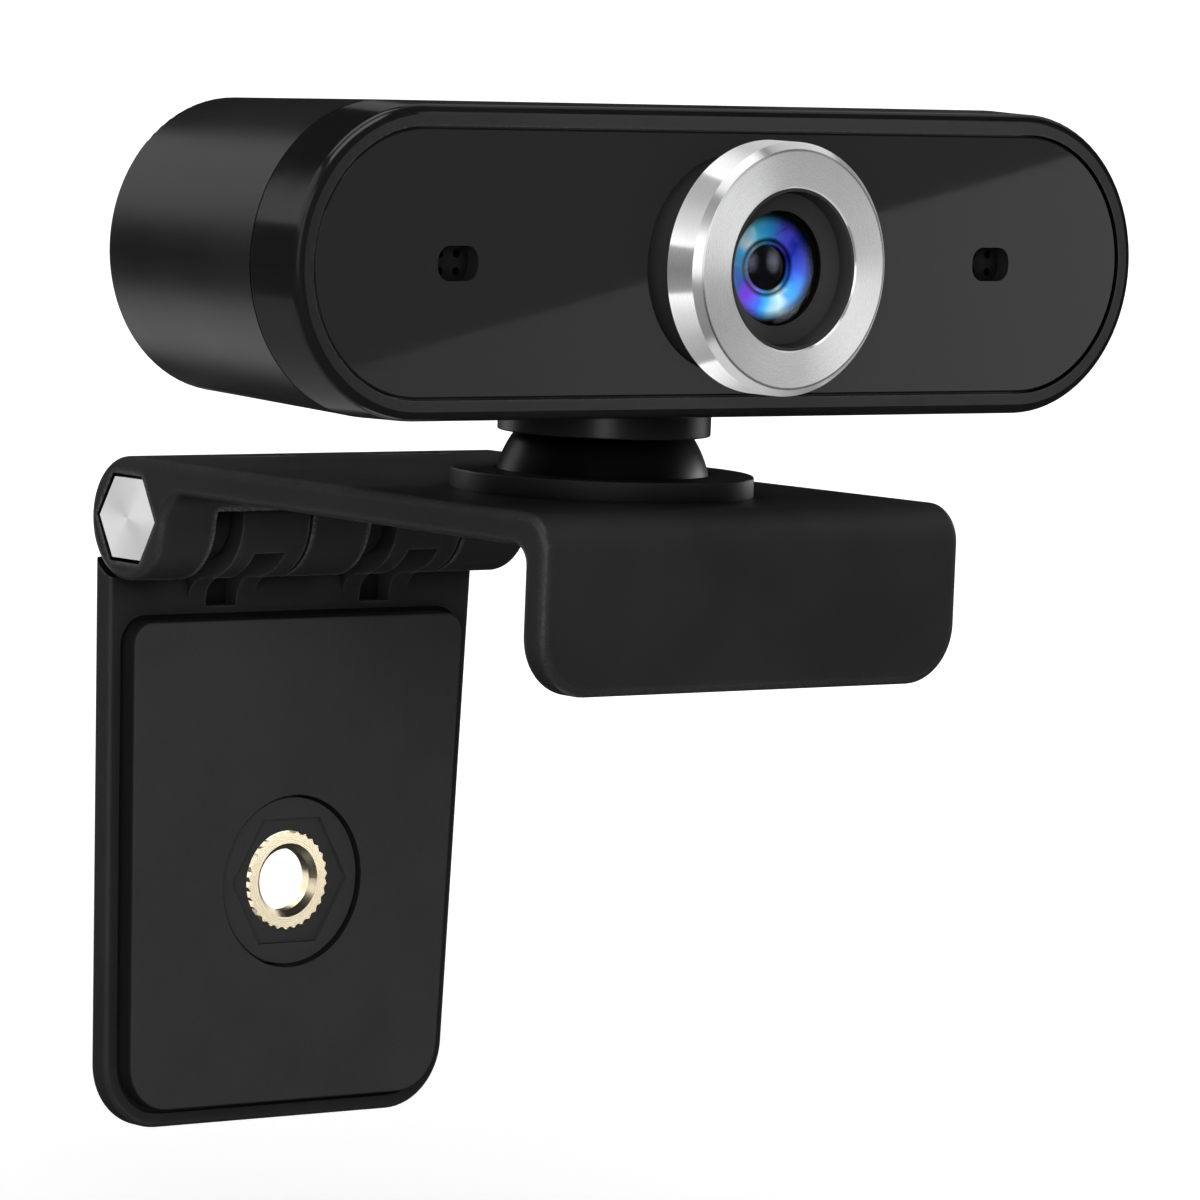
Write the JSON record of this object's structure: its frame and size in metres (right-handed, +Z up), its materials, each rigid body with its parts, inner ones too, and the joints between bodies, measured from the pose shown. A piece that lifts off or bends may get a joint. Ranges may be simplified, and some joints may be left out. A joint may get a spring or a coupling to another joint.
{
  "type": "clip-on webcam",
  "caption": "Oblong webcam head with a manual focus ring on a swivelling, tilting neck above a folding monitor clip whose leg carries a threaded tripod insert.",
  "frame": {"origin": "on the swivel axis, on the underside of the clip's top plate, where the clip rests on a monitor's edge", "axes": "+Z up along the swivel axis, -Y the way the lens looks, +X to the right of someone facing the lens"},
  "size_m": [0.0912, 0.0683, 0.0924],
  "materials": {
    "clip_black": "satin moulded, fine grain",
    "leg_black": "satin moulded, fine grain",
    "flange_black": "satin",
    "dome_black": "polished",
    "neck_black": "satin",
    "shell_black": "soft satin",
    "bezel_black": "polished",
    "panel_black": "mirror-smooth acrylic",
    "surround_black": "satin",
    "sleeve_black": "self-lubricating, matte",
    "ring_silver": "spun, bright bevel",
    "shade_black": "matte",
    "barrel_black": "matte anodised",
    "lens_glass": "blue and violet coating",
    "filter_glass": "reddish interference coating",
    "pad_rubber": "matte",
    "seal_rubber": "matte",
    "insert_brass": "bright turned, knurled outside",
    "bolt_steel": "turned face",
    "screw_steel": "plated",
    "capsule_metal": "plain",
    "board_green": "solder mask",
    "chip_black": "moulded",
    "header_white": "plain"
  },
  "bodies": {
    "clip": {"clip_bracket": "clip_black", "swivel_flange": "flange_black", "hinge_bolt": "bolt_steel", "hinge_nut": "bolt_steel", "friction_sleeves": "sleeve_black"},
    "leg": {"clip_leg": "leg_black", "leg_pad": "pad_rubber", "tripod_insert": "insert_brass"},
    "swivel": {"swivel_dome": "dome_black"},
    "focus": {"focus_ring": "ring_silver", "lens_shade": "shade_black"},
    "lens_cell": {"lens_barrel": "barrel_black", "front_lens": "lens_glass", "aperture_stop": "barrel_black", "inner_lens": "lens_glass", "rear_lens": "lens_glass"},
    "head": {"neck_collar": "neck_black", "tilt_cup": "sleeve_black", "tilt_spring": "screw_steel", "tilt_stud": "screw_steel", "neck_washer": "screw_steel", "tilt_nut": "screw_steel", "rear_shell": "shell_black", "front_bezel": "bezel_black", "front_panel": "panel_black", "mic_grilles": "shade_black", "mic_boots": "seal_rubber", "mic_capsules": "capsule_metal", "cable_gland": "seal_rubber", "main_board": "board_green", "board_screws": "screw_steel", "lens_holder": "shade_black", "holder_screws": "screw_steel", "image_sensor": "chip_black", "infrared_filter": "filter_glass", "video_chip": "chip_black", "clock_crystal": "capsule_metal", "cable_header": "header_white", "board_passives": "chip_black", "lens_surround": "surround_black"}
  },
  "joints": [
    {"name": "swivel_turn", "type": "hinge", "parent": "clip", "child": "swivel", "pos_m": [0, 0, 0.0023], "axis": [0, 0, 1], "continuous": true},
    {"name": "head_tilt", "type": "hinge", "parent": "swivel", "child": "head", "pos_m": [0, 0, 0.0023], "axis": [1, 0, 0], "range_deg": [-15, 15]},
    {"name": "focus_turn", "type": "hinge", "parent": "head", "child": "focus", "pos_m": [0, -0.021, 0.02283], "axis": [0, 1, 0], "range_deg": [-150, 150]},
    {"name": "lens_travel", "type": "slide", "parent": "head", "child": "lens_cell", "axis": [0, -1, 0], "range_m": [-0.0005, 0.0005]},
    {"name": "leg_fold", "type": "hinge", "parent": "clip", "child": "leg", "pos_m": [0, 0.0395, -0.0026], "axis": [1, 0, 0], "range_deg": [-90, 90]}
  ],
  "couplings": [
    {"joint": "focus_turn", "follows": "lens_travel", "rad_per_m": 5235.9}
  ]
}
